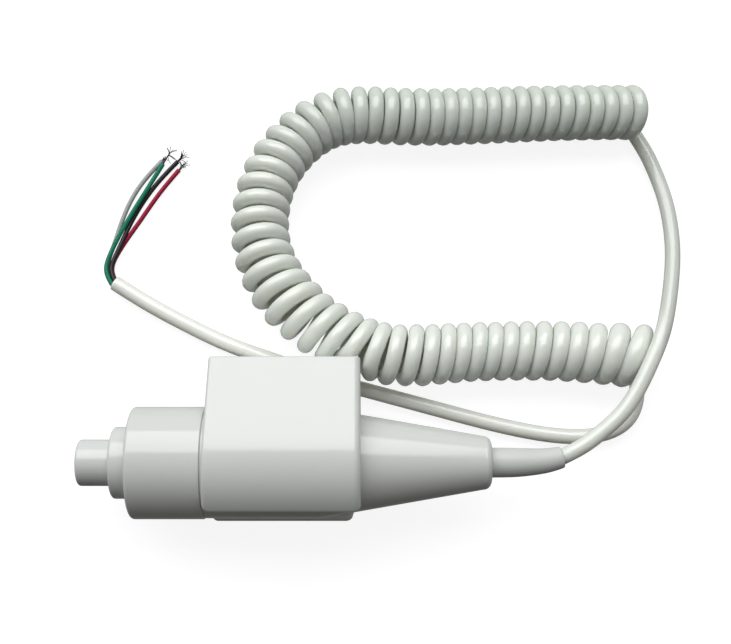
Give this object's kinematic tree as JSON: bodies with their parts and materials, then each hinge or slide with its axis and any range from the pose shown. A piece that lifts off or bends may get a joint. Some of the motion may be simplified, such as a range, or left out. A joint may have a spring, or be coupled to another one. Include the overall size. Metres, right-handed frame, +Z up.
{
  "type": "two-stage hand switch with wall holder",
  "caption": "Hand-held two-stage push-button switch with a tapered grip, a curly cord with stripped ends and a C-shaped screw-on wall holder.",
  "frame": {"origin": "on the surface that the part lies on, below the middle of the box of the handle and holder", "axes": "+X along the handle from the button to the cord, +Y towards the holder's mounting face, +Z up"},
  "size_m": [0.1949, 0.1461, 0.042],
  "materials": {
    "shell_white": "smooth moulded ABS, slightly warm grey-white, glossy",
    "button_white": "smooth moulded ABS, cool grey-white, glossy",
    "holder_white": "smooth moulded ABS, the whitest piece, glossy",
    "relief_grey": "soft PVC sleeve, satin",
    "cord_jacket": "soft polyurethane jacket, greenish grey-white, satin",
    "frame_plastic": "glass-filled nylon, grey",
    "switch_black": "black thermoset",
    "plunger_red": "red nylon",
    "seal_rubber": "black nitrile",
    "plain_steel": "zinc-plated",
    "spring_steel": "bright drawn wire",
    "terminal_brass": "plain",
    "wire_grey": "PVC insulation, light grey",
    "wire_green": "PVC insulation, green",
    "wire_black": "PVC insulation, black",
    "wire_red": "PVC insulation, crimson",
    "tinned_copper": "fine tinned strands"
  },
  "bodies": {
    "handle": {"front_cap": "shell_white", "seal_ring": "seal_rubber", "rear_body": "shell_white", "chassis": "frame_plastic", "second_stage_spring": "spring_steel", "exposure_switch": "switch_black", "exposure_terminals": "terminal_brass", "exposure_lever_pin": "plain_steel", "exposure_screws": "plain_steel", "cable_clamp": "frame_plastic", "clamp_screws": "plain_steel", "inner_cord": "cord_jacket", "prep_leads": "wire_red", "exposure_leads": "wire_black", "strain_relief": "relief_grey", "cord_lead": "cord_jacket", "cord_curl": "cord_jacket", "cord_tail": "cord_jacket", "wire_grey": "wire_grey", "wire_green": "wire_green", "wire_black": "wire_black", "wire_red": "wire_red", "bare_strands": "tinned_copper"},
    "second_stage": {"second_stage_button": "button_white", "carriage": "frame_plastic", "first_stage_spring": "spring_steel", "prep_switch": "switch_black", "prep_terminals": "terminal_brass", "prep_lever_pin": "plain_steel", "prep_screws": "plain_steel"},
    "first_stage": {"first_stage_button": "button_white"},
    "prep_lever": {"prep_lever": "plain_steel"},
    "prep_plunger": {"prep_plunger": "plunger_red"},
    "exposure_lever": {"exposure_lever": "plain_steel"},
    "exposure_plunger": {"exposure_plunger": "plunger_red"},
    "holder": {"holder": "holder_white"}
  },
  "joints": [
    {"name": "second_stage_press", "type": "slide", "parent": "handle", "child": "second_stage", "axis": [1, 0, 0], "range_m": [0, 0.003], "stiffness_N_per_m": 500, "springref_m": -0.004, "deforming": ["second_stage_spring", "prep_leads"]},
    {"name": "first_stage_press", "type": "slide", "parent": "second_stage", "child": "first_stage", "axis": [1, 0, 0], "range_m": [0, 0.004], "stiffness_N_per_m": 250, "springref_m": -0.004, "deforming": ["first_stage_spring"]},
    {"name": "prep_lever_swing", "type": "hinge", "parent": "second_stage", "child": "prep_lever", "pos_m": [-0.0345, -0.01507, 0.021], "axis": [0, 0, -1], "range_deg": [0, 25.5]},
    {"name": "prep_plunger_press", "type": "slide", "parent": "second_stage", "child": "prep_plunger", "axis": [1, 0, 0], "range_m": [0, 0.00105]},
    {"name": "exposure_lever_swing", "type": "hinge", "parent": "handle", "child": "exposure_lever", "pos_m": [-0.007, -0.01507, 0.021], "axis": [0, 0, -1], "range_deg": [0, 20]},
    {"name": "exposure_plunger_press", "type": "slide", "parent": "handle", "child": "exposure_plunger", "axis": [1, 0, 0], "range_m": [0, 0.0008]},
    {"name": "holder_slide", "type": "slide", "parent": "handle", "child": "holder", "axis": [-1, 0, 0], "range_m": [0, 0.095]}
  ],
  "couplings": [
    {"joint": "prep_lever_swing", "follows": "first_stage_press", "rad_per_m": 109},
    {"joint": "prep_plunger_press", "follows": "first_stage_press", "ratio": 0.25},
    {"joint": "exposure_lever_swing", "follows": "second_stage_press", "rad_per_m": 114},
    {"joint": "exposure_plunger_press", "follows": "second_stage_press", "ratio": 0.25}
  ]
}
